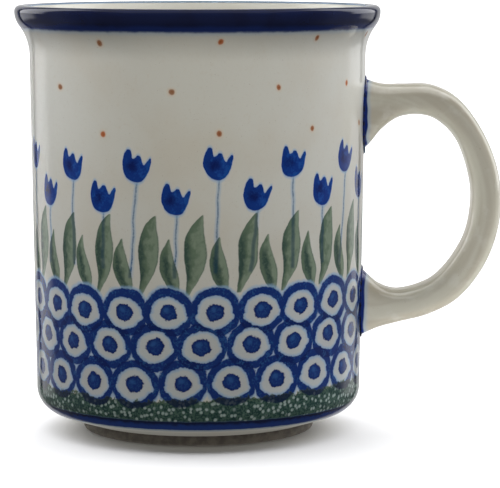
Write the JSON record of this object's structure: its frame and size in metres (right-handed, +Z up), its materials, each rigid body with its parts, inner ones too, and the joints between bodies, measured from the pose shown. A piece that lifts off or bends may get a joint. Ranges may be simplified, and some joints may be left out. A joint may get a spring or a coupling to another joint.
{
  "type": "stoneware mug",
  "caption": "Straight-sided stoneware mug with a flared cobalt lip, a pulled strap handle, a low foot ring and hand-stamped folk decoration under clear glaze.",
  "frame": {"origin": "centre of the foot ring, on the plane that it stands on", "axes": "+Z up along the cup's axis, +X towards the handle, +Y completes the right-handed set"},
  "size_m": [0.1174, 0.088, 0.1022],
  "materials": {
    "bare_clay": "unglazed vitrified stoneware, matte",
    "cobalt_slip": "cobalt brush line under glossy glaze",
    "decorated_glaze": "glossy clear glaze over cobalt, green and brown stamped decoration",
    "cream_glaze": "glossy, warm grey-cream with fine brown specks",
    "cobalt_glaze": "glossy deep cobalt",
    "handle_glaze": "glossy warm grey-cream, a little browner where the glaze is thin"
  },
  "bodies": {
    "root": {"cup_body": "bare_clay", "handle": "bare_clay", "upper_slip_joint": "cobalt_slip", "lower_slip_joint": "cobalt_slip", "outside_glaze": "decorated_glaze", "inside_glaze": "cream_glaze", "rim_glaze": "cobalt_glaze", "well_glaze": "cream_glaze", "handle_glaze": "handle_glaze"}
  },
  "joints": []
}
